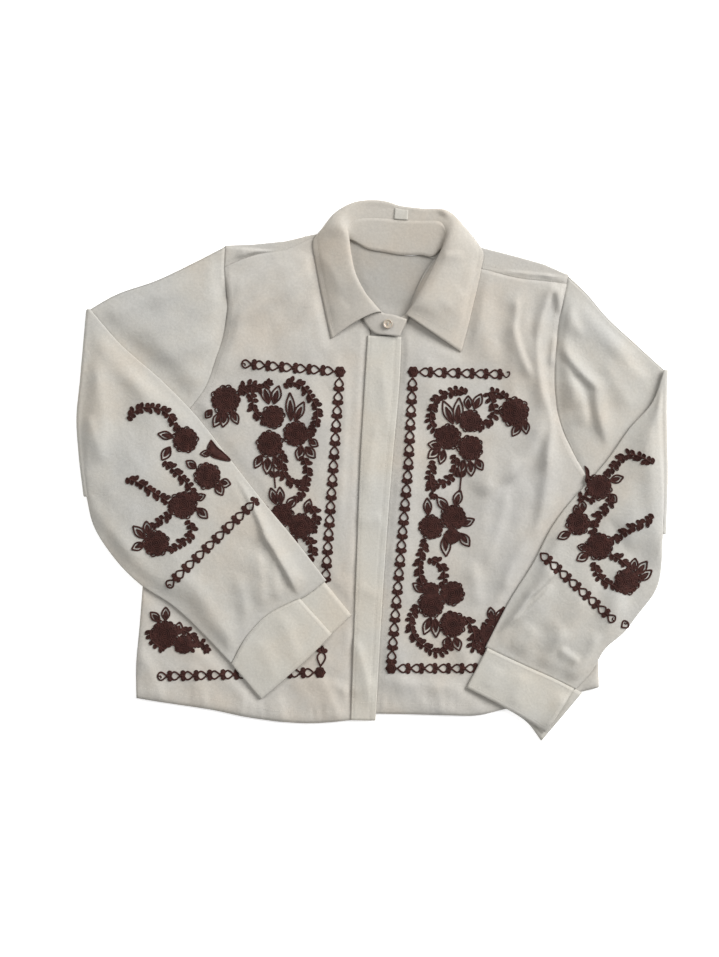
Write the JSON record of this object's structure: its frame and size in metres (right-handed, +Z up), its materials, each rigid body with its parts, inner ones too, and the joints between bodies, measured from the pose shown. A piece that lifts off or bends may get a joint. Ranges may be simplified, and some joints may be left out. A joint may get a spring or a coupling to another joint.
{
  "type": "embroidered shirt",
  "caption": "Cropped cream cotton shirt with classic collar, concealed placket and brown cord embroidery, laid flat on its back with both sleeves folded over the front",
  "frame": {"origin": "on the floor plane under the middle of the whole shirt's box", "axes": "+X towards the wearer's left and the viewer's right, +Y towards the collar, +Z up from the floor, out of the front of the shirt"},
  "size_m": [0.6614, 0.6056, 0.0171],
  "materials": {
    "cotton": "matt plain weave, cream",
    "embroidery_thread": "dark brown cord, matt",
    "button_resin": "cream resin, soft shine"
  },
  "bodies": {
    "root": {"back": "cotton", "chain_corner_right": "embroidery_thread", "chain_cuff_left": "embroidery_thread", "chain_cuff_right": "embroidery_thread", "chain_front_left": "embroidery_thread", "chain_front_right": "embroidery_thread", "chain_hem_right": "embroidery_thread", "collar_button": "button_resin", "collar_leaf": "cotton", "collar_stand": "cotton", "cuff_left": "cotton", "cuff_right": "cotton", "flower_front_left_1": "embroidery_thread", "flower_front_left_2": "embroidery_thread", "flower_front_left_3": "embroidery_thread", "flower_front_left_4": "embroidery_thread", "flower_front_left_5": "embroidery_thread", "flower_front_left_6": "embroidery_thread", "flower_front_left_7": "embroidery_thread", "flower_front_left_8": "embroidery_thread", "flower_front_left_9": "embroidery_thread", "flower_front_right_1": "embroidery_thread", "flower_front_right_2": "embroidery_thread", "flower_front_right_3": "embroidery_thread", "flower_front_right_4": "embroidery_thread", "flower_front_right_5": "embroidery_thread", "flower_front_right_6": "embroidery_thread", "flower_sleeve_left_1": "embroidery_thread", "flower_sleeve_left_2": "embroidery_thread", "flower_sleeve_left_3": "embroidery_thread", "flower_sleeve_left_4": "embroidery_thread", "flower_sleeve_right_1": "embroidery_thread", "flower_sleeve_right_2": "embroidery_thread", "flower_sleeve_right_3": "embroidery_thread", "flower_sleeve_right_4": "embroidery_thread", "front_left": "cotton", "front_right": "cotton", "neck_tab": "cotton", "placket": "cotton", "sleeve_left": "cotton", "sleeve_right": "cotton", "yoke": "cotton"}
  },
  "joints": []
}
